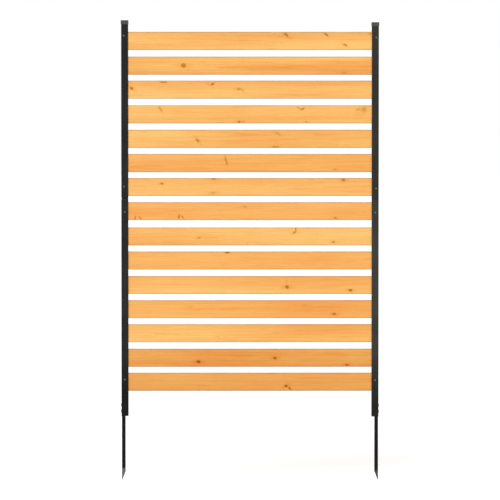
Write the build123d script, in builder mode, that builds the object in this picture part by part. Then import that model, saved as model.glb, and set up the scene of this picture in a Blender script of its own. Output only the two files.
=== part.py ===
from build123d import *
import os

# A privacy screen: wooden slats held at both ends in steel channel posts, which stand on ground stakes.
# X runs across the screen, Y from its front to its back and Z up, in millimetres.
# The origin is on the ground line, midway between the posts.

# Slats, numbered from the top, and the uneven gaps that their spacers keep, from the top down
slat_gaps = (25.5, 22.5, 25.0, 24.5, 23.5, 22.5, 23.5, 27.5, 23.0, 25.0, 23.5, 23.0, 25.0, 23.0)
upper_slats = 7
slat_height = 68.5
slat_thickness = 19.0
slat_edge_bevel = 1.5
slat_end_clearance = 3.5  # between a slat's end and the web of the post it goes into
bottom_slat_height = 98.0  # lowest slat's lower edge above the ground line

# Posts, each a lower and an upper length of bent channel
overall_width = 978.0
post_width = 26.5
post_wall = 1.5
post_bend_radius = 2.5
post_above_slats = 35.0
joint_below_gap_middle = 2.5
foot_rise = {"left": 2.5, "right": 0.0}  # the left post was fixed a little higher on its stake
joint_opening = {"left": 5.0, "right": 0.0}  # and its two lengths were not pushed quite together

# Sleeves that join the lower and upper lengths
sleeve_short_of_spacers = 4.0  # it reaches this close to the spacers above and below its two slats
sleeve_wall = 1.0
sleeve_set_back = 1.25  # from the edges of the post's flanges
fit = 0.25  # clearance round anything that slides into a channel

# Caps
cap_wall = 1.0
cap_top = 1.5
cap_skirt = 14.0
cap_plug_depth = 10.0
cap_edge_bevel = 1.0
cap_corner_bevel = 1.0

# Ground stakes, pointed channels bolted inside the feet of the posts
stake_reach = 13.5
stake_wall = 2.0
stake_bend_radius = 2.5
stake_below_ground = 240.0
stake_in_post = 72.0
stake_point_height = 30.0
stake_point_width = 2.0  # left by the saw at the tip

# Spacers between the ends of the slats, cut from a hollow plastic section
spacer_wall = 2.0
spacer_corner_bevel = 1.2

# Screws that hold the first and last slat of each length of post
screw_radius = 1.75
screw_length = 18.0
screw_head_radius = 3.5
screw_head_height = 2.2
screw_head_taper = 22.0  # degrees
screw_recess_length = 4.0
screw_recess_width = 1.0
screw_recess_depth = 1.3
screw_clearance = 0.3
pilot_clearance = 0.1
upper_screw_inset = 10.0
lower_screw_inset = 13.0
top_screw_height = 46.5  # above the lower edge of its slat, as are the next three
above_joint_screw_height = 28.5
below_joint_screw_height = 29.0
bottom_screw_height = 41.0

# Bolts through each post's web and its stake
bolt_radius = 3.0
bolt_length = 11.5
bolt_head_radius = 6.0
bolt_head_height = 2.0
bolt_head_taper = 35.0  # degrees
bolt_clearance = 0.25
bolt_heights = (18.5, 42.0)
stake_slot_length = 12.0
nut_across_flats = 10.0
nut_height = 5.0

# Sizes that follow from those above
slat_count = len(slat_gaps) + 1
slat_length = overall_width - 2 * (post_wall + slat_end_clearance)
sleeve_reach = post_width - post_wall - fit - sleeve_set_back
post_depth = slat_thickness + 2 * (post_wall + sleeve_wall + 2 * fit)
channel_depth = post_depth - 2 * post_wall
channel_corner_radius = post_bend_radius - post_wall
slat_screw_heights = {1: top_screw_height, upper_slats: above_joint_screw_height,
                      upper_slats + 1: below_joint_screw_height, slat_count: bottom_screw_height}


def slat_bottom(number):
    """Height of a slat's lower edge, with slat 1 at the top."""
    return bottom_slat_height + (slat_count - number) * slat_height + sum(slat_gaps[number - 1:])


joint_height = slat_bottom(upper_slats) - slat_gaps[upper_slats - 1] / 2 - joint_below_gap_middle
upper_length = slat_bottom(1) + slat_height + post_above_slats - joint_height

direction = {"left": -1, "right": 1}
front_face = Plane.XZ.offset(post_depth / 2)

os.makedirs("parts", exist_ok=True)


def save(piece, name):
    """Label a finished piece and write its file."""
    piece.part.label = name
    export_step(piece.part, f"parts/{name}.step")


def upper_rise(side):
    """How far one side's upper post stands above its place in a closed-up screen."""
    return foot_rise[side] + joint_opening[side]


def screw_point(side, number):
    """Where one side's screw goes through the front flange into a slat, as X and Z."""
    if number <= upper_slats:
        inset, rise = upper_screw_inset, upper_rise(side)
    else:
        inset, rise = lower_screw_inset, foot_rise[side]
    across = direction[side] * (overall_width / 2 - inset)
    return across, slat_bottom(number) + slat_screw_heights[number] + rise


def outer_face(side):
    """The plane of one side's post web, facing outward."""
    sign = direction[side]
    return Plane(origin=(sign * overall_width / 2, 0, 0), x_dir=(0, sign, 0), z_dir=(sign, 0, 0))


def bolt_points(side):
    """The bolt centres on one side's web."""
    return [(0, height + foot_rise[side]) for height in bolt_heights]


def bent_channel(side, inset, reach, depth, wall, bend_radius):
    """The section of a bent channel that opens towards the slats, as a sketch on the ground line.

    Its web's outer face lies inset from the screen's outer edge.
    """
    sign = direction[side]
    web = sign * (overall_width / 2 - inset - wall / 2)
    tip = sign * (overall_width / 2 - inset - reach)
    flange = (depth - wall) / 2
    with BuildSketch(mode=Mode.PRIVATE) as section:
        with BuildLine():
            FilletPolyline((tip, -flange), (web, -flange), (web, flange), (tip, flange),
                           radius=bend_radius - wall / 2)
        trace(line_width=wall)
    return section.sketch


# Slats with eased edges, and pilot holes in those that are screwed
for number in range(1, slat_count + 1):
    with BuildPart() as slat:
        with BuildSketch(Plane.YZ.offset(-slat_length / 2)) as section:
            with Locations((0, slat_bottom(number) + slat_height / 2)):
                Rectangle(slat_thickness, slat_height)
            chamfer(section.vertices(), length=slat_edge_bevel)
        extrude(amount=slat_length)
        if number in slat_screw_heights:
            with BuildSketch(front_face):
                with Locations(screw_point("left", number), screw_point("right", number)):
                    Circle(screw_radius + pilot_clearance)
            extrude(amount=-screw_length - pilot_clearance, mode=Mode.SUBTRACT)
    save(slat, f"slat_{number:02d}")

for side in direction:
    # Lower post, drilled for its screws and for the stake bolts
    with BuildPart() as lower_post:
        with BuildSketch(Plane.XY.offset(foot_rise[side])):
            add(bent_channel(side, 0, post_width, post_depth, post_wall, post_bend_radius))
        extrude(amount=joint_height)
        with BuildSketch(front_face):
            with Locations(screw_point(side, upper_slats + 1), screw_point(side, slat_count)):
                Circle(screw_radius + screw_clearance)
        extrude(amount=-post_wall, mode=Mode.SUBTRACT)
        with BuildSketch(outer_face(side)):
            with Locations(*bolt_points(side)):
                Circle(bolt_radius + bolt_clearance)
        extrude(amount=-post_wall, mode=Mode.SUBTRACT)
    save(lower_post, f"{side}_lower_post")

    # Upper post
    with BuildPart() as upper_post:
        with BuildSketch(Plane.XY.offset(joint_height + upper_rise(side))):
            add(bent_channel(side, 0, post_width, post_depth, post_wall, post_bend_radius))
        extrude(amount=upper_length)
        with BuildSketch(front_face):
            with Locations(screw_point(side, 1), screw_point(side, upper_slats)):
                Circle(screw_radius + screw_clearance)
        extrude(amount=-post_wall, mode=Mode.SUBTRACT)
    save(upper_post, f"{side}_upper_post")

    # Sleeve inside both lengths, caught by the screws next to the joint
    with BuildPart() as sleeve:
        sleeve_depth = channel_depth - 2 * fit
        sleeve_bottom = slat_bottom(upper_slats + 1) + sleeve_short_of_spacers
        sleeve_top = slat_bottom(upper_slats) + slat_height - sleeve_short_of_spacers
        with BuildSketch(Plane.XY.offset(sleeve_bottom)):
            add(bent_channel(side, post_wall + fit, sleeve_reach, sleeve_depth, sleeve_wall,
                             channel_corner_radius + sleeve_wall))
        extrude(amount=sleeve_top - sleeve_bottom)
        with BuildSketch(front_face):
            with Locations(screw_point(side, upper_slats), screw_point(side, upper_slats + 1)):
                Circle(screw_radius + screw_clearance)
        extrude(amount=-post_wall - fit - sleeve_wall, mode=Mode.SUBTRACT)
    save(sleeve, f"{side}_joint_sleeve")

    # Cap with a skirt over the post's end and a hollow plug inside its channel
    with BuildPart() as cap:
        post_top = joint_height + upper_length + upper_rise(side)
        post_middle = direction[side] * (overall_width - post_width) / 2
        plug_middle = direction[side] * (overall_width - post_width - post_wall) / 2
        with BuildSketch(Plane.XY.offset(post_top - cap_skirt)) as outline:
            with Locations((post_middle, 0)):
                Rectangle(post_width + 2 * (fit + cap_wall), post_depth + 2 * (fit + cap_wall))
            chamfer(outline.vertices(), length=cap_corner_bevel)
        extrude(amount=cap_skirt + cap_top)
        chamfer(cap.faces().sort_by(Axis.Z)[-1].edges(), length=cap_edge_bevel)
        with BuildSketch(Plane.XY.offset(post_top - cap_skirt)):
            with Locations((post_middle, 0)):
                Rectangle(post_width + 2 * fit, post_depth + 2 * fit)
        extrude(amount=cap_skirt, mode=Mode.SUBTRACT)
        with BuildSketch(Plane.XY.offset(post_top - cap_plug_depth)) as outline:
            with Locations((plug_middle, 0)):
                Rectangle(post_width - post_wall - 2 * fit, channel_depth - 2 * fit)
            chamfer(outline.vertices(), length=channel_corner_radius)
            with Locations((plug_middle, 0)):
                Rectangle(post_width - post_wall - 2 * (fit + cap_wall),
                          channel_depth - 2 * (fit + cap_wall), mode=Mode.SUBTRACT)
        extrude(amount=cap_plug_depth)
    save(cap, f"{side}_post_cap")

    # Stake with slots for its bolts, sawn to a point on its outer side
    with BuildPart() as stake:
        stake_depth = channel_depth - 2 * fit
        with BuildSketch(Plane.XY.offset(-stake_below_ground)):
            add(bent_channel(side, post_wall, stake_reach, stake_depth, stake_wall, stake_bend_radius))
        extrude(amount=stake_below_ground + stake_in_post)
        with BuildSketch(outer_face(side)):
            with Locations(*[(0, height) for height in bolt_heights]):
                SlotOverall(stake_slot_length, 2 * (bolt_radius + bolt_clearance), rotation=90)
        extrude(amount=-post_wall - stake_wall, mode=Mode.SUBTRACT)
        point = direction[side] * (overall_width / 2 - post_wall - stake_point_width)
        edge = direction[side] * (overall_width / 2 - post_wall - stake_reach)
        with BuildSketch(Plane.XZ):
            with BuildLine():
                Polyline((point, -stake_below_ground), (edge, -stake_below_ground),
                         (edge, stake_point_height - stake_below_ground), close=True)
            make_face()
        extrude(amount=stake_depth, both=True, mode=Mode.SUBTRACT)
    save(stake, f"{side}_stake")

    # Hollow spacers that the slat ends stand on, the one at the joint inside the sleeve
    for number, slat_gap in enumerate(slat_gaps, start=1):
        lining = fit + sleeve_wall if number == upper_slats else 0
        with BuildPart() as spacer:
            outer_end = overall_width / 2 - post_wall - lining - fit
            inner_end = overall_width / 2 - post_width + fit
            width = outer_end - inner_end
            depth = channel_depth - 2 * (lining + fit)
            with BuildSketch(Plane.XY.offset(slat_bottom(number) - slat_gap)) as outline:
                with Locations((direction[side] * (outer_end + inner_end) / 2, 0)):
                    Rectangle(width, depth)
                chamfer(outline.vertices(), length=spacer_corner_bevel)
                with Locations((direction[side] * (outer_end + inner_end) / 2, 0)):
                    Rectangle(width - 2 * spacer_wall, depth - 2 * spacer_wall, mode=Mode.SUBTRACT)
            extrude(amount=slat_gap)
        save(spacer, f"{side}_spacer_{number:02d}")

# Pan-head screws through the front flanges into the slats
with BuildPart() as slat_screws:
    screw_points = [screw_point(side, number) for side in direction for number in slat_screw_heights]
    with BuildSketch(front_face):
        with Locations(*screw_points):
            Circle(screw_head_radius)
    extrude(amount=screw_head_height, taper=screw_head_taper)
    with BuildSketch(front_face):
        with Locations(*screw_points):
            Circle(screw_radius)
    extrude(amount=-screw_length)
    with BuildSketch(front_face.offset(screw_head_height)):
        with Locations(*screw_points):
            Rectangle(screw_recess_length, screw_recess_width)
            Rectangle(screw_recess_width, screw_recess_length)
    extrude(amount=-screw_recess_depth, mode=Mode.SUBTRACT)
save(slat_screws, "slat_screws")

# Low-headed bolts through the webs, and their nuts inside the stakes
with BuildPart() as stake_bolts:
    for side in direction:
        with BuildSketch(outer_face(side)):
            with Locations(*bolt_points(side)):
                Circle(bolt_head_radius)
        extrude(amount=bolt_head_height, taper=bolt_head_taper)
        with BuildSketch(outer_face(side)):
            with Locations(*bolt_points(side)):
                Circle(bolt_radius)
        extrude(amount=-bolt_length)
save(stake_bolts, "stake_bolts")

with BuildPart() as stake_nuts:
    for side in direction:
        with BuildSketch(outer_face(side).offset(-post_wall - stake_wall)):
            with Locations(*bolt_points(side)):
                RegularPolygon(nut_across_flats / 2, 6, major_radius=False)
                Circle(bolt_radius + pilot_clearance, mode=Mode.SUBTRACT)
        extrude(amount=-nut_height)
save(stake_nuts, "stake_nuts")
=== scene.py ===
"""The looks of a slatted privacy screen: stained softwood slats between powder-coated steel posts."""

import math
import random

import bmesh
import bpy
from mathutils import Matrix, Vector


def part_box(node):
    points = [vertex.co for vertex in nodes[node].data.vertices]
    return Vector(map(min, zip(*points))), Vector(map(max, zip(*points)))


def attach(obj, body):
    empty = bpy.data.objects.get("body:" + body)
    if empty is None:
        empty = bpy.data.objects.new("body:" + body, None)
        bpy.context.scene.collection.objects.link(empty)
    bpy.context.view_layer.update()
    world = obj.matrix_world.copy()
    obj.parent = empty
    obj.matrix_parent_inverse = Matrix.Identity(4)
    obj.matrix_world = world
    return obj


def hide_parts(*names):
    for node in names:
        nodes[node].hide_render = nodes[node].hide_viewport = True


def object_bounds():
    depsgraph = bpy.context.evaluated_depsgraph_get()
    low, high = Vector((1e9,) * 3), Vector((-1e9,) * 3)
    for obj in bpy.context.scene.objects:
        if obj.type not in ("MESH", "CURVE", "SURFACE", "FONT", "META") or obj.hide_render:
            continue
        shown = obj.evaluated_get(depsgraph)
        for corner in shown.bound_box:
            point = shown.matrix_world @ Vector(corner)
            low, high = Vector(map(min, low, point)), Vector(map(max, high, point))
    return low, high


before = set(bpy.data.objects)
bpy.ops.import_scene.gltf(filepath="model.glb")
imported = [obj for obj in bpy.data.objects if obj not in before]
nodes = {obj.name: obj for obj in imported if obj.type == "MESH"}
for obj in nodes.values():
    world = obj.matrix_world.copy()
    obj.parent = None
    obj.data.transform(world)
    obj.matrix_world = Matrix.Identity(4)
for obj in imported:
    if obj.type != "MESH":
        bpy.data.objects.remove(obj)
cad_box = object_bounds()

MM = 0.001

# Linear colours of the stained wood, and how grain, edges and knots change them
STAINS = {
    "pale": (0.980, 0.535, 0.160),
    "warm": (0.960, 0.480, 0.130),
    "deep": (0.860, 0.412, 0.100),
}
LATEWOOD_TONE = (0.91, 0.72, 0.46)
FIBRE_TONE = (0.93, 0.80, 0.62)
GOLD_TONE = (1.01, 1.12, 1.19)
AMBER_TONE = (0.97, 0.86, 0.76)
# The colour that painted shade lays over a slat towards its right end
RIGHT_SHADE_TONE = (0.955, 0.890, 0.780)
ARRIS_TONE = (0.50, 0.62, 0.82)
HALO_TONE = (0.93, 0.80, 0.58)
KNOT_TONE = (0.62, 0.43, 0.09)
KNOT_RING_TONE = (0.46, 0.34, 0.12)
EDGE_SHARES = (0.03, 0.08, 0.14)  # how much red, green and blue may change from a slat's middle to its edge

# The growth rings of the tree that a slat is cut from, in metres
HEART_DEPTH = (0.024, 0.060)  # how far in front of the slat's middle or behind it the tree's heart may lie
HEART_RISE = 0.030  # the most that the heart lies above or below the slat's middle
HEART_SLOPE = 0.007  # the most that the rings drift for each metre along the slat
HEART_WANDER = 0.013
RING_WIDTH = (0.0034, 0.0052)
RING_RIPPLE = 0.0022
RING_UNEVENNESS = 2.4  # in rings

# How dark a growth ring is from its start, at 0, to its end, at 1
RING_DARKNESS = ((0.0, 0.30), (0.07, 0.0), (0.55, 0.08), (0.85, 0.70), (0.94, 1.0), (1.0, 0.30))

# Cells of noise to a metre, along a slat and across it
SLAT_STEP = 3.7  # how far apart two slats lie in the noise
WANDER_CELLS = 2.2
UNEVEN_CELLS = 110.0
RIPPLE_CELLS = (14.0, 90.0)
PLAINNESS_CELLS = (3.0, 60.0)
BAND_CELLS = (1.6, 42.0)
FIBRE_CELLS = (13.0, 900.0)
PORE_CELLS = (80.0, 2600.0)

# The darker strip along a slat's eased edge fades in between these distances from its sides
ARRIS_FROM_TOP = (0.0042, 0.0010)
ARRIS_FROM_FRONT = (0.0018, 0.0008)

WOOD_ROUGHNESS = (0.56, 0.70)
WOOD_SPECULAR = (0.30, 0.10)  # of plain wood and of a knot
WOOD_RELIEF = 0.00018

# Linear colours of the black coated steel
# Painted light: the posts share one black coat, but as lit and shaded copies, the right posts paler and
# warmer than the left ones
POST_COATS_WITH_PAINTED_LIGHT = {
    "left_upper": (0.0165, 0.0165, 0.0155),
    "right_upper": (0.0300, 0.0272, 0.0220),
    "left_lower": (0.0195, 0.0195, 0.0180),
    "right_lower": (0.0430, 0.0400, 0.0330),
}
SLEEVE_COAT = (0.012, 0.012, 0.011)
STAKE_COAT = (0.0062, 0.0062, 0.0060)
# A painted highlight where light catches the top rim of a post in its open joint
RIM_HIGHLIGHT = (0.0420, 0.0420, 0.0400)
HIGHLIGHT_BELOW_RIM = (0.005, 0.001)  # where the painted highlight starts below a rim, and where it is full
HIGHLIGHT_RAGGEDNESS = 0.004
FOOT_SHADE_TONE = (0.35, 0.35, 0.35)  # painted shade at the foot of a post against the rest of it
FOOT_TOP = 0.330  # the heights between which painted shade darkens a post towards its foot
FOOT_BOTTOM = 0.030

# The paler grey at each stake's point: its colour, its length and the length over which it fades in
STAKE_POINTS = {
    "left": ((0.135, 0.134, 0.131), 0.045, 0.004),
    "right": ((0.090, 0.088, 0.085), 0.031, 0.024),
}
SCRATCH_REACH = 0.008  # how far scratches and patches shift where the paler grey starts
PATCH_REACH = 0.022

# Cells of noise to a metre in the coating, the same all ways or along each axis
CLOUD_CELLS = 9.0
SPECK_CELLS = 1400.0
PEEL_CELLS = 620.0
SCUFF_CELLS = (60.0, 60.0, 7.0)
STAKE_SPECK_CELLS = 900.0
STAKE_SCRATCH_CELLS = (420.0, 420.0, 26.0)
STAKE_PATCH_CELLS = (75.0, 75.0, 55.0)
COAT_SPECULAR = 0.14
COAT_ROUGHNESS = (0.62, 0.76)
STAKE_ROUGHNESS = (0.56, 0.72)
COAT_RELIEF = 0.00006

# Linear colours of plastic and plated steel
CAP_GREY = (0.058, 0.058, 0.056)
SPACER_BLACK = (0.012, 0.012, 0.012)
SCREW_GREY = (0.230, 0.230, 0.222)
BOLT_BLACK = (0.045, 0.045, 0.043)
NUT_ZINC = (0.42, 0.42, 0.40)

# Cells of noise to a metre in plastic and plating
MOULD_CLOUD_CELLS = 45.0
MOULD_GRAIN_CELLS = 1900.0
PLATE_CLOUD_CELLS = 220.0
PLATE_SCRATCH_CELLS = (500.0, 500.0, 2600.0)
MOULD_RELIEF = 0.00005
PLATE_RELIEF = 0.00003

# Each slat's stain, how plainly its growth rings show, how much paler it is at its lower edge than at
# its upper one, and how much painted shade deepens its colour towards the right
SLAT_LOOKS = {
    1: ("pale", 0.7, 1.0, 0.4),
    2: ("warm", 1.3, -0.8, 0.0),
    3: ("pale", 0.7, 0.3, 0.4),
    4: ("pale", 0.5, -0.3, 0.2),
    5: ("pale", 0.6, -0.1, 1.0),
    6: ("warm", 0.5, -0.3, 0.8),
    7: ("pale", 0.6, 0.5, 0.5),
    8: ("warm", 0.6, 0.0, 0.2),
    9: ("pale", 0.5, -0.7, 0.0),
    10: ("warm", 0.5, -0.1, 0.4),
    11: ("pale", 0.4, 0.3, 0.8),
    12: ("warm", 0.7, 0.4, 1.0),
    13: ("pale", 0.7, 0.7, 1.2),
    14: ("deep", 1.5, -0.6, 0.8),
    15: ("deep", 1.2, -0.9, 0.6),
}

# The knots of each slat: millimetres right of its middle and above it, radius in millimetres, darkness, how
# much longer than wide the knot is, and its tilt in degrees
KNOTS = {
    1: [(137, 23, 5, 0.65, 1.8, -40), (118, 17, 3, 0.25, 4.0, 0), (150, 14, 3, 0.3, 3.0, 0),
        (289, 24, 4, 0.65, 2.0, -35), (361, -16, 4, 0.65, 1.8, -25), (456, 26, 3, 0.6, 1.2, 0)],
    2: [(-252, 0, 9, 0.7, 1.1, 0), (-263, 20, 3, 0.25, 1.4, 0), (-234, -15, 3, 0.4, 1.4, 0),
        (-179, 14, 3, 0.15, 1.5, 0), (358, -29, 5, 0.35, 1.8, 0)],
    3: [(-449, 5, 6, 0.75, 1.2, -30), (-328, 28, 2, 0.9, 6.0, 0), (-142, 21, 4, 0.85, 1.4, 30),
        (-161, 22, 4, 0.35, 1.8, 0), (-42, 2, 5, 0.5, 1.8, 0), (-28, -3, 3, 0.45, 2.0, -50)],
    4: [(-340, 20, 4, 0.5, 2.6, -53), (-41, -28, 4, 0.75, 1.2, 0), (-27, -27, 3, 0.55, 1.2, 0),
        (186, 23, 2, 0.6, 4.0, -30), (200, 20, 3, 0.75, 2.2, 30), (214, -29, 3, 0.55, 1.4, 0),
        (433, 18, 12, 0.45, 1.1, 45), (411, 19, 3, 0.5, 2.2, 20)],
    5: [(-199, -6, 5, 0.6, 1.7, -50), (106, 20, 6, 0.35, 2.2, -20), (98, -33, 5, 0.6, 2.6, 0)],
    6: [(-365, -11, 2, 0.15, 14.0, 0), (-245, -15, 5, 0.12, 1.8, 0), (-91, 9, 4, 0.5, 4.0, -76),
        (17, -8, 2, 0.15, 9.0, 0), (323, -24, 4, 0.45, 1.3, 0)],
    7: [(-335, 13, 4, 0.75, 1.4, 0), (-137, 31, 6, 0.5, 1.5, 0), (-141, -24, 6, 0.35, 2.0, 10),
        (355, 26, 5, 0.75, 1.4, 0), (233, 28, 3, 0.25, 2.5, 0)],
    8: [(-436, -25, 2, 0.7, 3.5, 80), (-418, -25, 2, 0.6, 4.0, -50), (-270, -21, 3, 0.7, 2.4, 80),
        (-256, -22, 2, 0.7, 3.5, -50), (-20, 17, 3, 0.45, 2.0, -30), (324, -26, 4, 0.6, 1.3, 0)],
    9: [(-194, -5, 4, 0.5, 1.8, 15), (-152, -4, 2, 0.3, 14.0, 0), (-11, -27, 3, 0.3, 1.3, 60),
        (170, 16, 4, 0.6, 2.0, 40), (174, 30, 2, 0.8, 3.0, 80), (317, -21, 4, 0.65, 1.3, 0)],
    10: [(-86, 30, 3, 0.9, 2.6, 0), (242, -13, 3, 0.2, 3.0, 0)],
    11: [(-110, 15, 4, 0.1, 1.4, 0), (141, -7, 7, 0.8, 1.0, 0), (139, 13, 2, 0.3, 4.0, 84),
         (158, 2, 2, 0.3, 2.0, 80), (382, -20, 5, 0.9, 1.3, 0)],
    12: [(-228, 8, 5, 0.3, 1.4, 0), (-54, 2, 6, 0.12, 2.5, 0), (207, 14, 8, 0.22, 1.6, 0),
         (320, -18, 5, 0.75, 1.3, 0)],
    13: [(-317, -3, 1.6, 0.35, 30.0, 0), (-123, -13, 3, 0.35, 1.6, 0), (45, 17, 3, 0.2, 3.5, 0),
         (95, 2, 4, 0.18, 3.0, 0)],
    14: [(-196, -15, 6, 0.95, 1.2, 0), (95, -1, 5, 0.9, 1.3, 0), (60, 0, 2, 0.22, 12.0, 0),
         (-15, 9, 4, 0.15, 4.0, 0), (369, -27, 5, 0.65, 1.3, 0)],
    15: [(137, -16, 5, 0.95, 1.1, 30), (151, -25, 4, 0.85, 1.4, -35), (-180, -16, 2, 0.2, 10.0, 0)],
}
KNOT_SLANT = (0.55, 0.20)  # how far a knot shifts right and up for each length it runs into a slat

# A knot, in shares of its radius: how uneven its edge is, where its core ends, where its dark outline
# starts and is full, and where the stained wood round it ends and is full
KNOT_RAGGEDNESS = 1.1
KNOT_CORE_EDGE = 1.25
KNOT_OUTLINE = (0.55, 0.95)
KNOT_STAIN = (2.1, 0.6)
KNOT_CELLS = 130.0  # cells of noise to a metre at its edge
KNOT_RINGS = 19.0  # radians of the rings' wave to a radius

WELD_DISTANCE = 1e-6
EASED_ANGLE = math.radians(30)  # edges sharper than this are rounded
SHARP_ANGLE = math.radians(38)  # edges sharper than this aren't shaded smooth

# Outlines of the fasteners' heads, as shares of the head's radius and height
PAN_HEAD = ((0.96, 0.0), (1.0, 0.05), (1.0, 0.22), (0.985, 0.42), (0.93, 0.63), (0.84, 0.80), (0.72, 0.92),
            (0.62, 0.985))
BUTTON_HEAD = ((0.97, 0.0), (1.0, 0.04), (1.0, 0.14), (0.97, 0.32), (0.89, 0.54), (0.77, 0.76),
               (0.62, 0.92), (0.48, 1.0))

# The lamps: the direction each one shines from, its strength and the width of its disc in degrees
LAMPS = {
    "key": ((-0.5, -1.0, 0.75), 1.40, 45.0),
    "fill": ((0.8, -1.0, 0.25), 0.65, 60.0),
    "back": ((0.3, 1.0, 0.6), 0.9, 60.0),
}
WORLD_LIGHT = 0.45
FLOOR_GREY = (0.82, 0.82, 0.82)
FLOOR_GLOW = 0.42  # what brings the floor up to white where the camera sees it
FLOOR_REACH = 60.0

# A long lens almost square to the screen, a little left of its middle and above it
LENS = 284.2
SENSOR_WIDTH = 36.0
CAMERA_PLACE = (-0.08, -15.0, 1.212)
CAMERA_AIM = (0.0, 0.0, 0.634)


class Graph:
    """The nodes of one material or node group, built up as arithmetic on sockets."""

    def __init__(self, tree):
        self.tree = tree

    def add(self, kind, **settings):
        node = self.tree.nodes.new(kind)
        for name, value in settings.items():
            setattr(node, name, value)
        return node

    def feed(self, socket, value):
        """Link an input to another node's output, or set its own value."""
        if isinstance(value, bpy.types.NodeSocket):
            self.tree.links.new(value, socket)
        else:
            socket.default_value = value

    def math(self, operation, *values):
        node = self.add("ShaderNodeMath", operation=operation)
        for socket, value in zip(node.inputs, values):
            self.feed(socket, value)
        return node.outputs[0]

    def plus(self, first, second):
        return self.math("ADD", first, second)

    def minus(self, first, second):
        return self.math("SUBTRACT", first, second)

    def times(self, first, second):
        return self.math("MULTIPLY", first, second)

    def over(self, first, second):
        return self.math("DIVIDE", first, second)

    def vector(self, operation, *values):
        node = self.add("ShaderNodeVectorMath", operation=operation)
        for socket, value in zip(node.inputs, values):
            self.feed(socket, value)
        return node.outputs[0]

    def scaled(self, vector, factor):
        return self.vector("MULTIPLY", vector, (factor, factor, factor))

    def length(self, first, second):
        """The length of a vector with two parts."""
        return self.math("SQRT", self.plus(self.times(first, first), self.times(second, second)))

    def split(self, vector):
        node = self.add("ShaderNodeSeparateXYZ")
        self.feed(node.inputs[0], vector)
        return node.outputs[0], node.outputs[1], node.outputs[2]

    def join(self, x, y, z):
        node = self.add("ShaderNodeCombineXYZ")
        for socket, value in zip(node.inputs, (x, y, z)):
            self.feed(socket, value)
        return node.outputs[0]

    def noise(self, vector, detail=2.0, roughness=0.5):
        """Noise from 0 to 1 whose features are about one unit of the given vector across."""
        node = self.add("ShaderNodeTexNoise")
        self.feed(node.inputs["Vector"], vector)
        node.inputs["Scale"].default_value = 1.0
        node.inputs["Detail"].default_value = detail
        node.inputs["Roughness"].default_value = roughness
        return node.outputs["Fac"]

    def smooth(self, value, low, high, start=0.0, end=1.0):
        """A smooth step from start to end as value goes from low to high."""
        node = self.add("ShaderNodeMapRange", interpolation_type="SMOOTHSTEP")
        for socket, given in zip(node.inputs, (value, low, high, start, end)):
            self.feed(socket, given)
        return node.outputs[0]

    def curve(self, value, points):
        """A line through points of (position, height), both from 0 to 1."""
        node = self.add("ShaderNodeValToRGB")
        self.feed(node.inputs[0], value)
        stops = node.color_ramp.elements
        while len(stops) < len(points):
            stops.new(1.0)
        for stop, (position, height) in zip(stops, points):
            stop.position = position
            stop.color = (height, height, height, 1.0)
        return node.outputs[0]

    def blend(self, mode, factor, first, second):
        """Colour second laid over colour first, as much as factor says."""
        node = self.add("ShaderNodeMix", data_type="RGBA", blend_type=mode, clamp_result=False)
        self.feed(node.inputs[0], factor)
        self.feed(node.inputs[6], colour(first))
        self.feed(node.inputs[7], colour(second))
        return node.outputs[2]

    def tint(self, share, tone, by):
        """A tone multiplied by another colour, as much as share says."""
        return self.blend("MULTIPLY", share, tone, by)

    def bump(self, height, distance):
        node = self.add("ShaderNodeBump")
        node.inputs["Strength"].default_value = 1.0
        node.inputs["Distance"].default_value = distance
        self.feed(node.inputs["Height"], height)
        return node.outputs[0]


def colour(value):
    """A colour socket as it is, or three numbers with full opacity."""
    if isinstance(value, bpy.types.NodeSocket):
        return value
    return (*value, 1.0)


def shade(base, factor):
    """A colour made darker or paler."""
    return tuple(factor * part for part in base)


def material_graph(name, **shader_values):
    """A new material with one surface shader, as (material, graph, shader)."""
    material = bpy.data.materials.new(name)
    material.use_nodes = True
    graph = Graph(material.node_tree)
    shader = material.node_tree.nodes["Principled BSDF"]
    for socket, value in shader_values.items():
        shader.inputs[socket.replace("_", " ")].default_value = value
    return material, graph, shader


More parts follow.
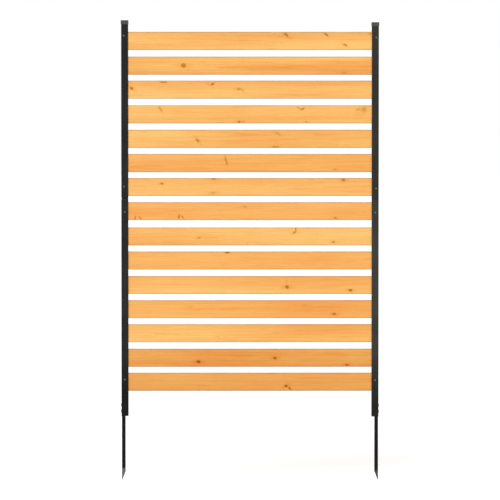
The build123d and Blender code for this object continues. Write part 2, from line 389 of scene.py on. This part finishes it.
def knot_group():
    """A knot's push on the grain, its core, the rings and checks in it and the stained wood round it."""
    tree = bpy.data.node_groups.new("knot", "ShaderNodeTree")
    for name, kind in (("Place", "NodeSocketVector"), ("Centre", "NodeSocketVector"),
                       ("Radius", "NodeSocketFloat"), ("Stretch", "NodeSocketFloat"),
                       ("Turn", "NodeSocketFloat"), ("Darkness", "NodeSocketFloat")):
        tree.interface.new_socket(name, in_out="INPUT", socket_type=kind)
    for name in ("Push", "Core", "Rings", "Halo"):
        tree.interface.new_socket(name, in_out="OUTPUT", socket_type="NodeSocketFloat")
    g = Graph(tree)
    given = g.add("NodeGroupInput").outputs
    out = g.add("NodeGroupOutput").inputs
    away = g.vector("SUBTRACT", given["Place"], given["Centre"])
    turned = g.add("ShaderNodeVectorRotate", rotation_type="Y_AXIS")
    g.feed(turned.inputs["Vector"], away)
    g.feed(turned.inputs["Angle"], given["Turn"])
    along, _, across = g.split(turned.outputs[0])
    along = g.over(g.math("ABSOLUTE", along), given["Radius"])
    along = g.math("MAXIMUM", g.minus(along, g.minus(given["Stretch"], 1.0)), 0.0)
    across = g.over(across, given["Radius"])
    ragged = g.minus(g.noise(g.scaled(away, KNOT_CELLS), detail=3.0), 0.5)

    edge = g.plus(g.length(along, across), g.times(ragged, KNOT_RAGGEDNESS))
    core = g.smooth(edge, KNOT_CORE_EDGE, g.smooth(given["Darkness"], 0.1, 0.7, -0.5, 0.62))
    outline = g.smooth(edge, *KNOT_OUTLINE)
    rings = g.times(g.math("SINE", g.times(edge, KNOT_RINGS)), 0.45)
    check = g.plus(g.times(across, 0.9), g.times(ragged, 0.9))
    check = g.smooth(g.math("ABSOLUTE", check), 0.10, 0.02, 0.0, 0.9)
    dark = g.math("MAXIMUM", g.math("MAXIMUM", outline, rings), check)
    core = g.times(core, given["Darkness"])
    g.feed(out["Core"], core)
    g.feed(out["Rings"], g.times(g.times(core, dark), g.smooth(core, 0.0, 0.6)))

    # The stained wood round it, drawn out along it
    reach = g.length(g.times(along, 0.36), across)
    halo = g.smooth(g.plus(reach, ragged), *KNOT_STAIN)
    g.feed(out["Halo"], g.times(halo, given["Darkness"]))

    # The grain's way round it
    up = g.over(g.split(away)[2], given["Radius"])
    side = g.over(up, g.plus(g.math("ABSOLUTE", up), 0.35))
    near = g.length(g.times(along, 0.42), up)
    fade = g.math("EXPONENT", g.times(g.times(near, near), -0.28))
    g.feed(out["Push"], g.times(g.times(side, fade), given["Radius"]))
    return tree


def add_knots(g, place, knots, group):
    """The push, core, rings and halo of all of a slat's knots together."""
    push, core, rings, halo = 0.0, 0.0, 0.0, 0.0
    for across, up, radius, darkness, stretch, tilt in knots:
        knot = g.add("ShaderNodeGroup", node_tree=group)
        g.feed(knot.inputs["Place"], place)
        g.feed(knot.inputs["Centre"], (across * MM, 0.0, up * MM))
        g.feed(knot.inputs["Radius"], radius * MM)
        g.feed(knot.inputs["Stretch"], stretch)
        g.feed(knot.inputs["Turn"], math.radians(tilt))
        g.feed(knot.inputs["Darkness"], darkness)
        push = g.plus(push, knot.outputs["Push"])
        core = g.math("MAXIMUM", core, knot.outputs["Core"])
        rings = g.math("MAXIMUM", rings, knot.outputs["Rings"])
        halo = g.math("MAXIMUM", halo, knot.outputs["Halo"])
    return push, core, rings, halo


def heart_distance(g, x, y, z, push, seeded, number, draw):
    """The distance from the tree's heart, which wanders along the slat and goes round its knots."""
    heart_depth = draw.choice((-1, 1)) * draw.uniform(*HEART_DEPTH)
    heart_rise = draw.uniform(-HEART_RISE, HEART_RISE)
    heart_slope = draw.uniform(-HEART_SLOPE, HEART_SLOPE)
    wander = g.noise(g.join(g.times(seeded, WANDER_CELLS), number * 1.3, 0.0), detail=1.0)
    wander = g.times(g.minus(wander, 0.5), HEART_WANDER)
    rise = g.plus(g.minus(g.minus(z, push), heart_rise), wander)
    radius = g.length(rise, g.minus(y, heart_depth))
    radius = g.plus(radius, g.times(x, heart_slope))
    along, across = RIPPLE_CELLS
    ripple = g.noise(g.join(g.times(seeded, along), g.times(y, across), g.times(rise, across)), detail=2.0)
    return g.plus(radius, g.times(g.minus(ripple, 0.5), RING_RIPPLE))


def growth_rings(g, radius, seeded, number, draw):
    """How dark the growth rings are. Some are wider and some plainer than others."""
    ring_width = draw.uniform(*RING_WIDTH)
    uneven = g.noise(g.join(number, 0.0, g.times(radius, UNEVEN_CELLS)), detail=1.0)
    ring = g.plus(g.over(radius, ring_width), g.times(uneven, RING_UNEVENNESS))
    latewood = g.curve(g.math("FRACT", ring), RING_DARKNESS)
    along, across = PLAINNESS_CELLS
    plain = g.noise(g.join(g.times(seeded, along), number, g.times(radius, across)), detail=2.0)
    return g.times(latewood, g.smooth(plain, 0.30, 0.70, 0.25, 1.0))


def bands_and_fibres(g, y, z, radius, seeded, number):
    """Noise for a slat's broad bands, its fibres and its pores, all drawn out along it."""
    along, across = BAND_CELLS
    band = g.noise(g.join(g.times(seeded, along), number, g.times(radius, across)), detail=2.0)
    along, across = FIBRE_CELLS
    fibre = g.noise(g.join(g.times(seeded, along), g.times(y, across), g.times(z, across)),
                    detail=3.0, roughness=0.6)
    along, across = PORE_CELLS
    pore = g.noise(g.join(g.times(seeded, along), g.times(y, across), g.times(z, across)), detail=1.0)
    return band, fibre, pore


def eased_edge(g, y, z, half, fibre):
    """Where a slat's eased edges are coloured darker, a little uneven with its fibres."""
    start, end = ARRIS_FROM_TOP
    near_top = g.smooth(g.math("ABSOLUTE", z), half.z - start, half.z - end)
    start, end = ARRIS_FROM_FRONT
    near_front = g.smooth(g.math("ABSOLUTE", y), half.y - start, half.y - end)
    return g.times(g.times(near_top, near_front), g.smooth(fibre, 0.25, 0.65, 0.55, 1.0))


def wood(number, group):
    """Planed softwood with a honey-coloured stain, its growth rings cut as one board."""
    stain, grain, paler_below, shade_towards_right = SLAT_LOOKS[number]
    low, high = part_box(f"slat_{number:02d}")
    middle = (low + high) / 2
    half = (high - low) / 2
    draw = random.Random(number)

    material, g, shader = material_graph(f"wood_{number:02d}")
    at = g.add("ShaderNodeTexCoord").outputs["Object"]
    place = g.vector("SUBTRACT", at, tuple(middle))
    x, y, z = g.split(place)
    depth = g.plus(y, half.y)
    slant_right, slant_up = KNOT_SLANT
    slanted = g.join(g.minus(x, g.times(depth, slant_right)), 0.0, g.minus(z, g.times(depth, slant_up)))
    push, core, knot_rings, halo = add_knots(g, slanted, KNOTS[number], group)
    seeded = g.plus(x, number * SLAT_STEP)
    radius = heart_distance(g, x, y, z, push, seeded, number, draw)
    latewood = growth_rings(g, radius, seeded, number, draw)
    band, fibre, pore = bands_and_fibres(g, y, z, radius, seeded, number)

    # Colour
    upper = tuple(c * (1 - paler_below * share) for c, share in zip(STAINS[stain], EDGE_SHARES))
    lower = tuple(c * (1 + paler_below * share) for c, share in zip(STAINS[stain], EDGE_SHARES))
    tone = g.blend("MIX", g.smooth(z, -half.z, half.z), lower, upper)
    # Painted shade: the colour deepens towards the right, away from the light
    tone = g.tint(g.smooth(x, -half.x, half.x, 0.0, shade_towards_right), tone, RIGHT_SHADE_TONE)
    band_strength = min(1.0, 0.55 + 0.3 * grain)
    tone = g.tint(g.smooth(band, 0.50, 0.66, 0.0, band_strength), tone, GOLD_TONE)
    tone = g.tint(g.smooth(band, 0.50, 0.34, 0.0, band_strength), tone, AMBER_TONE)
    tone = g.tint(g.times(latewood, min(1.0, grain)), tone, LATEWOOD_TONE)
    tone = g.tint(g.smooth(fibre, 0.45, 0.72), tone, FIBRE_TONE)
    tone = g.tint(g.smooth(pore, 0.58, 0.78, 0.0, 0.8), tone, FIBRE_TONE)
    tone = g.tint(halo, tone, HALO_TONE)
    tone = g.tint(eased_edge(g, y, z, half, fibre), tone, ARRIS_TONE)
    tone = g.tint(core, tone, KNOT_TONE)
    tone = g.tint(knot_rings, tone, KNOT_RING_TONE)
    g.feed(shader.inputs["Base Color"], tone)

    # Thin stain, a little glossier on the dark rings and duller on the knots
    rough = g.plus(g.smooth(fibre, 0.3, 0.8, *WOOD_ROUGHNESS), g.times(core, 0.10))
    g.feed(shader.inputs["Roughness"], g.plus(rough, g.times(latewood, -0.06)))
    g.feed(shader.inputs["Specular IOR Level"], g.smooth(core, 0.0, 0.8, *WOOD_SPECULAR))
    relief = g.plus(g.times(latewood, 0.5), g.times(fibre, 0.6))
    relief = g.plus(relief, g.times(pore, -0.25))
    relief = g.plus(relief, g.times(knot_rings, -0.6))
    g.feed(shader.inputs["Normal"], g.bump(relief, WOOD_RELIEF))
    return material


def mottled(g, noise, base, darker, paler, low=0.3, high=0.7):
    """A colour that goes from darker to paler as a noise goes from low to high."""
    return g.blend("MIX", g.smooth(noise, low, high), shade(base, darker), shade(base, paler))


def powder_coat(name, base, rim_height=None):
    """Black powder coat on steel, with its fine orange peel and a little uneven sheen.

    Painted shade darkens it near the ground, and a painted highlight lights a cut end at rim_height.
    """
    material, g, shader = material_graph(name, Specular_IOR_Level=COAT_SPECULAR)
    at = g.add("ShaderNodeTexCoord").outputs["Object"]
    cloud = g.noise(g.scaled(at, CLOUD_CELLS), detail=3.0)
    speck = g.noise(g.scaled(at, SPECK_CELLS), detail=1.0)
    peel = g.noise(g.scaled(at, PEEL_CELLS), detail=2.0)
    scuff = g.noise(g.vector("MULTIPLY", at, SCUFF_CELLS), detail=4.0, roughness=0.7)
    tone = mottled(g, cloud, base, 0.85, 1.15)
    tone = g.blend("MIX", g.smooth(speck, 0.66, 0.80, 0.0, 0.5), tone, shade(base, 1.8))
    tone = g.blend("MIX", g.smooth(scuff, 0.66, 0.78, 0.0, 0.35), tone, shade(base, 2.0))
    height = g.split(at)[2]
    if rim_height is not None:
        # Painted highlight: a paler, ragged strip just below the rim
        ragged = g.plus(height, g.times(g.minus(scuff, 0.5), HIGHLIGHT_RAGGEDNESS))
        start, end = HIGHLIGHT_BELOW_RIM
        rim_highlight = g.smooth(ragged, rim_height - start, rim_height - end, 0.0, 0.8)
        tone = g.blend("MIX", rim_highlight, tone, RIM_HIGHLIGHT)
    # Painted shade: the coat's reflection dims towards the ground
    tone = g.tint(g.smooth(height, FOOT_TOP, FOOT_BOTTOM), tone, FOOT_SHADE_TONE)
    g.feed(shader.inputs["Base Color"], tone)
    g.feed(shader.inputs["Roughness"], g.smooth(scuff, 0.3, 0.75, *COAT_ROUGHNESS))
    relief = g.plus(peel, g.times(speck, 0.35))
    g.feed(shader.inputs["Normal"], g.bump(relief, COAT_RELIEF))
    return material


def stake_steel(name, paler_tip_tone, paler_tip_length, fade_length):
    """Black coated stake steel that turns paler grey at the pointed end."""
    material, g, shader = material_graph(name, Specular_IOR_Level=COAT_SPECULAR)
    at = g.add("ShaderNodeTexCoord").outputs["Object"]
    scratch = g.noise(g.vector("MULTIPLY", at, STAKE_SCRATCH_CELLS), detail=4.0, roughness=0.65)
    speck = g.noise(g.scaled(at, STAKE_SPECK_CELLS), detail=2.0)
    peel = g.noise(g.scaled(at, PEEL_CELLS), detail=2.0)
    patch = g.noise(g.vector("MULTIPLY", at, STAKE_PATCH_CELLS), detail=3.0)
    height = g.plus(g.split(at)[2], g.times(g.minus(scratch, 0.5), SCRATCH_REACH))
    height = g.plus(height, g.times(g.minus(patch, 0.5), PATCH_REACH))
    # The point turns paler grey below this height, its start shifted by scratches and patches
    paler_tip_top = cad_box[0][2] + paler_tip_length
    paler_tip = g.smooth(height, paler_tip_top + fade_length / 2, paler_tip_top - fade_length / 2)
    coat = g.blend("MIX", g.smooth(speck, 0.60, 0.80, 0.0, 0.5), STAKE_COAT, shade(STAKE_COAT, 2.5))
    steel = mottled(g, scratch, paler_tip_tone, 0.7, 1.3, 0.35, 0.65)
    g.feed(shader.inputs["Base Color"], g.blend("MIX", paler_tip, coat, steel))
    g.feed(shader.inputs["Roughness"], g.smooth(scratch, 0.3, 0.7, *STAKE_ROUGHNESS))
    relief = g.plus(peel, g.times(g.times(scratch, paler_tip), 1.5))
    g.feed(shader.inputs["Normal"], g.bump(relief, COAT_RELIEF))
    return material


def moulded_plastic(name, base, roughness, specular):
    """Injection-moulded plastic with a fine spark-eroded texture."""
    material, g, shader = material_graph(name, Specular_IOR_Level=specular)
    at = g.add("ShaderNodeTexCoord").outputs["Object"]
    cloud = g.noise(g.scaled(at, MOULD_CLOUD_CELLS), detail=2.0)
    grain = g.noise(g.scaled(at, MOULD_GRAIN_CELLS), detail=2.0)
    tone = mottled(g, cloud, base, 0.88, 1.12)
    tone = g.blend("MIX", g.smooth(grain, 0.60, 0.80, 0.0, 0.4), tone, shade(base, 1.5))
    g.feed(shader.inputs["Base Color"], tone)
    g.feed(shader.inputs["Roughness"], g.smooth(cloud, 0.3, 0.7, roughness - 0.05, roughness + 0.06))
    g.feed(shader.inputs["Normal"], g.bump(grain, MOULD_RELIEF))
    return material


def plated_metal(name, base, roughness):
    """Plated steel with faint blotches and fine scratches."""
    material, g, shader = material_graph(name, Metallic=1.0)
    at = g.add("ShaderNodeTexCoord").outputs["Object"]
    cloud = g.noise(g.scaled(at, PLATE_CLOUD_CELLS), detail=3.0)
    scratch = g.noise(g.vector("MULTIPLY", at, PLATE_SCRATCH_CELLS), detail=3.0, roughness=0.6)
    g.feed(shader.inputs["Base Color"], mottled(g, cloud, base, 0.78, 1.2))
    rough = g.smooth(cloud, 0.3, 0.7, roughness - 0.05, roughness + 0.08)
    g.feed(shader.inputs["Roughness"], g.plus(rough, g.times(scratch, 0.06)))
    g.feed(shader.inputs["Normal"], g.bump(scratch, PLATE_RELIEF))
    return material


def dress(node, material):
    """Give a CAD node one material."""
    mesh = nodes[node].data
    mesh.materials.clear()
    mesh.materials.append(material)


def ease(node, width, segments):
    """Round a CAD node's sharp edges a little."""
    weld = nodes[node].modifiers.new("weld", "WELD")
    weld.merge_threshold = WELD_DISTANCE
    bevel = nodes[node].modifiers.new("eased_edges", "BEVEL")
    bevel.width = width
    bevel.segments = segments
    bevel.limit_method = "ANGLE"
    bevel.angle_limit = EASED_ANGLE
    bevel.use_clamp_overlap = False


def dress_slats():
    group = knot_group()
    for number in SLAT_LOOKS:
        dress(f"slat_{number:02d}", wood(number, group))


def dress_steel():
    """Powder coat on the posts and sleeves, each post a lit or shaded copy as painted light, and the
    stakes' own finish.
    """
    # The top of the left lower post shows in its open joint, where it gets a painted highlight
    rims = {"left_lower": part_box("left_lower_post")[1].z}
    for place, base in POST_COATS_WITH_PAINTED_LIGHT.items():
        dress(f"{place}_post", powder_coat(f"coat_{place}", base, rims.get(place)))
    sleeve = powder_coat("coat_sleeve", SLEEVE_COAT)
    for side, point in STAKE_POINTS.items():
        dress(f"{side}_stake", stake_steel(f"stake_{side}", *point))
        dress(f"{side}_joint_sleeve", sleeve)


def dress_plastic():
    """Moulded caps and spacers."""
    cap = moulded_plastic("cap_plastic", CAP_GREY, roughness=0.50, specular=0.40)
    spacer = moulded_plastic("spacer_plastic", SPACER_BLACK, roughness=0.55, specular=0.35)
    for name in nodes:
        if "spacer" in name:
            dress(name, spacer)
            ease(name, width=0.0002, segments=2)
        if "cap" in name:
            dress(name, cap)
            ease(name, width=0.0004, segments=3)


def solids_of(node):
    """The lowest and highest corner of each separate solid in a CAD node, from left to right."""
    mesh = bmesh.new()
    mesh.from_mesh(nodes[node].data)
    bmesh.ops.remove_doubles(mesh, verts=mesh.verts, dist=WELD_DISTANCE)
    waiting = set(mesh.verts)
    boxes = []
    while waiting:
        solid = [waiting.pop()]
        for vertex in solid:
            for edge in vertex.link_edges:
                other = edge.other_vert(vertex)
                if other in waiting:
                    waiting.remove(other)
                    solid.append(other)
        places = [vertex.co for vertex in solid]
        low = Vector([min(place[axis] for place in places) for axis in range(3)])
        high = Vector([max(place[axis] for place in places) for axis in range(3)])
        boxes.append((low, high))
    mesh.free()
    return sorted(boxes, key=lambda box: tuple(box[0]))


def ring(angles, outline, height):
    """Points round the Z axis at one height. The outline gives the radius at an angle."""
    radius = outline if callable(outline) else lambda angle: outline
    return [Vector((radius(a) * math.cos(a), radius(a) * math.sin(a), height)) for a in angles]


def loft(mesh, rings, turn, closed=True):
    """Skin a row of rings that have equally many points, and turn the skin into its place."""
    rows = [[mesh.verts.new(turn @ point) for point in points] for points in rings]
    count = len(rows[0])
    for lower, upper in zip(rows, rows[1:]):
        for i in range(count):
            j = (i + 1) % count
            mesh.faces.new((lower[i], lower[j], upper[j], upper[i]))
    if closed:
        mesh.faces.new(list(reversed(rows[0])))
        mesh.faces.new(rows[-1])


def hexagon(across_flats):
    """The radius of a hexagon at an angle."""
    return lambda angle: across_flats / 2 / math.cos((angle + math.pi / 6) % (math.pi / 3) - math.pi / 6)


def cross(length, width):
    """The radius of a cross of two bars at an angle."""
    def radius(angle):
        along, across = abs(math.cos(angle)), abs(math.sin(angle))
        bars = []
        for a, b in ((along, across), (across, along)):
            bars.append(min(length / 2 / max(a, 1e-9), width / 2 / max(b, 1e-9)))
        return max(bars)
    return radius


def cross_angles(length, width):
    """Angles through every corner of a cross, with two more between each pair."""
    corner = math.atan2(width, length)
    stops = [-corner, 0.0, corner, math.pi / 4, math.pi / 2 - corner]
    angles = []
    for quarter in range(4):
        for start, end in zip(stops, stops[1:]):
            for part in range(3):
                angles.append(quarter * math.pi / 2 + start + (end - start) * part / 3)
    return angles


def even_angles(count):
    return [2 * math.pi * i / count for i in range(count)]


def thread(angles, core, crest, pitch, start, end, rows_per_turn):
    """Rings of a threaded shank between two heights, the thread fading out at both ends."""
    half_ridge = 0.36  # half the thread's width at its root, as a share of the pitch
    fading = 1.5  # how fast the thread rises from nothing, in crests to a turn
    rows = []
    count = round((end - start) / pitch * rows_per_turn)
    for i in range(count + 1):
        height = start + (end - start) * i / count
        fade = min(1.0, fading * i / rows_per_turn, fading * (count - i) / rows_per_turn)

        def outline(angle, height=height, fade=fade):
            turn = (height / pitch - angle / (2 * math.pi)) % 1.0
            ridge = max(0.0, 1.0 - abs(turn - 0.5) / half_ridge)
            return core + (crest - core) * ridge * fade
        rows.append(ring(angles, outline, height))
    return rows


def finish_piece(name, mesh, material, node):
    """Turn a finished mesh into a piece that stands for a CAD node."""
    bmesh.ops.recalc_face_normals(mesh, faces=mesh.faces)
    data = bpy.data.meshes.new(name)
    mesh.to_mesh(data)
    mesh.free()
    data.materials.append(material)
    for face in data.polygons:
        face.use_smooth = True
    data.set_sharp_from_angle(angle=SHARP_ANGLE)
    piece = bpy.data.objects.new(name, data)
    bpy.context.scene.collection.objects.link(piece)
    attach(piece, "root")
    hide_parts(node)


def pan_head_screws():
    """Cross-recessed pan-head screws, each with a thread that ends in a point."""
    recess_length, recess_width, recess_depth = 0.0040, 0.0010, 0.0013
    taper = 0.62  # the recess's floor against its mouth
    core, crest, pitch = 0.00120, 0.00175, 0.0014
    point_length, point_radius = 0.0030, 0.00005
    neck, thread_end = 0.0012, 0.0014
    shank = crest * 0.94
    angles = cross_angles(recess_length, recess_width)
    mouth = cross(recess_length, recess_width)
    floor = cross(recess_length * taper, recess_width * taper)
    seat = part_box("left_upper_post")[0].y
    mesh = bmesh.new()
    for low, high in solids_of("slat_screws"):
        head_radius = (high.x - low.x) / 2
        head_height = seat - low.y
        length = high.y - seat
        rings = [ring(angles, point_radius, -length)]
        rings += thread(angles, core, crest, pitch, point_length - length, -thread_end, rows_per_turn=8)
        rings += [ring(angles, shank, -neck), ring(angles, shank, 0.0)]
        for radius, height in PAN_HEAD:
            rings.append(ring(angles, head_radius * radius, head_height * height))
        rings += [ring(angles, mouth, head_height), ring(angles, floor, head_height - recess_depth)]
        turn = Matrix.Translation(((low.x + high.x) / 2, seat, (low.z + high.z) / 2))
        turn @= Matrix.Rotation(math.radians(90), 4, "X")
        loft(mesh, rings, turn)
    material = plated_metal("screw_black", SCREW_GREY, roughness=0.42)
    finish_piece("pan_head_screws", mesh, material, "slat_screws")


def button_head_bolts():
    """Low domed bolts with a hexagon socket, through the posts' webs."""
    socket, socket_depth, rim = 0.0040, 0.0014, 0.00012
    taper = 0.97  # the socket's floor against its mouth
    core, crest, pitch = 0.0025, 0.0030, 0.0010
    chamfer, neck, thread_end = 0.0003, 0.0010, 0.0012
    shank = crest * 0.98
    angles = even_angles(36)
    mesh = bmesh.new()
    for low, high in solids_of("stake_bolts"):
        side, outward = ("right", 1) if high.x > 0 else ("left", -1)
        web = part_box(f"{side}_lower_post")[1 if outward > 0 else 0].x
        head_radius = (high.z - low.z) / 2
        head_height = high.x - web if outward > 0 else web - low.x
        length = (high.x - low.x) - head_height
        rings = [ring(angles, core * 0.9, -length)]
        rings += thread(angles, core, crest, pitch, chamfer - length, -thread_end, rows_per_turn=6)
        rings += [ring(angles, shank, -neck), ring(angles, shank, 0.0)]
        for radius, height in BUTTON_HEAD:
            rings.append(ring(angles, head_radius * radius, head_height * height))
        rings += [ring(angles, hexagon(socket), head_height - rim),
                  ring(angles, hexagon(socket * taper), head_height - socket_depth)]
        turn = Matrix.Translation((web, (low.y + high.y) / 2, (low.z + high.z) / 2))
        turn @= Matrix.Rotation(math.radians(90) * outward, 4, "Y")
        loft(mesh, rings, turn)
    material = plated_metal("bolt_black", BOLT_BLACK, roughness=0.42)
    finish_piece("button_head_bolts", mesh, material, "stake_bolts")


def hexagon_nuts():
    """Hexagon nuts with chamfered corners and bores."""
    bore, bore_chamfer = 0.0031, 0.0005
    chamfer_start = 0.97  # where the corners' chamfer starts, as a share of the flats' radius
    slope = math.tan(math.radians(30))
    angles = even_angles(48)
    mesh = bmesh.new()
    for low, high in solids_of("stake_nuts"):
        height = high.x - low.x
        across_flats = min(high.y - low.y, high.z - low.z)
        outline = hexagon(across_flats)
        flat = across_flats / 2 * chamfer_start
        lower = [Vector((point.x, point.y, (point.length - flat) * slope))
                 for point in ring(angles, outline, 0.0)]
        upper = [Vector((point.x, point.y, height - point.z)) for point in lower]
        rings = [ring(angles, bore, bore_chamfer), ring(angles, bore + bore_chamfer, 0.0),
                 ring(angles, flat, 0.0), lower, upper, ring(angles, flat, height),
                 ring(angles, bore + bore_chamfer, height), ring(angles, bore, height - bore_chamfer),
                 ring(angles, bore, bore_chamfer)]
        turn = Matrix.Translation((low.x, (low.y + high.y) / 2, (low.z + high.z) / 2))
        turn @= Matrix.Rotation(math.radians(90), 4, "Y")
        loft(mesh, rings, turn, closed=False)
    bmesh.ops.remove_doubles(mesh, verts=mesh.verts, dist=WELD_DISTANCE)
    material = plated_metal("nut_zinc", NUT_ZINC, roughness=0.35)
    finish_piece("hexagon_nuts", mesh, material, "stake_nuts")


def pale_floor():
    """A white floor under the stakes that keeps a soft shadow."""
    mesh = bpy.data.meshes.new("floor")
    reach = FLOOR_REACH
    height = cad_box[0][2]
    corners = [(-reach, -reach, height), (reach, -reach, height), (reach, reach, height),
               (-reach, reach, height)]
    mesh.from_pydata(corners, [], [(0, 1, 2, 3)])
    floor = bpy.data.objects.new("floor", mesh)
    bpy.context.scene.collection.objects.link(floor)
    material, g, shader = material_graph("white_floor", Roughness=1.0, Specular_IOR_Level=0.0)
    g.feed(shader.inputs["Base Color"], colour(FLOOR_GREY))
    shader.inputs["Emission Color"].default_value = (1.0, 1.0, 1.0, 1.0)
    seen = g.add("ShaderNodeLightPath").outputs["Is Camera Ray"]
    g.feed(shader.inputs["Emission Strength"], g.times(seen, FLOOR_GLOW))
    mesh.materials.append(material)


def white_world():
    """White where the camera sees it, and dimmer as a light."""
    world = bpy.data.worlds.new("studio")
    world.use_nodes = True
    bpy.context.scene.world = world
    g = Graph(world.node_tree)
    background = world.node_tree.nodes["Background"]
    background.inputs["Color"].default_value = (1.0, 1.0, 1.0, 1.0)
    seen = g.add("ShaderNodeLightPath").outputs["Is Camera Ray"]
    g.feed(background.inputs["Strength"], g.smooth(seen, 0.0, 1.0, WORLD_LIGHT, 1.0))


def sun(name, towards, strength, spread):
    """A soft distant light that shines from a direction towards the screen."""
    lamp = bpy.data.lights.new(name, "SUN")
    lamp.energy = strength
    lamp.angle = math.radians(spread)
    light = bpy.data.objects.new(name, lamp)
    light.rotation_euler = Vector(towards).to_track_quat("Z", "Y").to_euler()
    bpy.context.scene.collection.objects.link(light)


def camera():
    """The photograph's view."""
    lens = bpy.data.cameras.new("camera")
    lens.sensor_width = SENSOR_WIDTH
    lens.lens = LENS
    lens.clip_end = 200.0
    viewer = bpy.data.objects.new("camera", lens)
    place = Vector(CAMERA_PLACE)
    viewer.location = place
    viewer.rotation_euler = (Vector(CAMERA_AIM) - place).to_track_quat("-Z", "Y").to_euler()
    bpy.context.scene.collection.objects.link(viewer)
    bpy.context.scene.camera = viewer


dress_slats()
dress_steel()
dress_plastic()
pan_head_screws()
button_head_bolts()
hexagon_nuts()
pale_floor()
white_world()
for name, (towards, strength, spread) in LAMPS.items():
    sun(name, towards, strength, spread)
camera()
bpy.context.scene.view_settings.view_transform = "Standard"
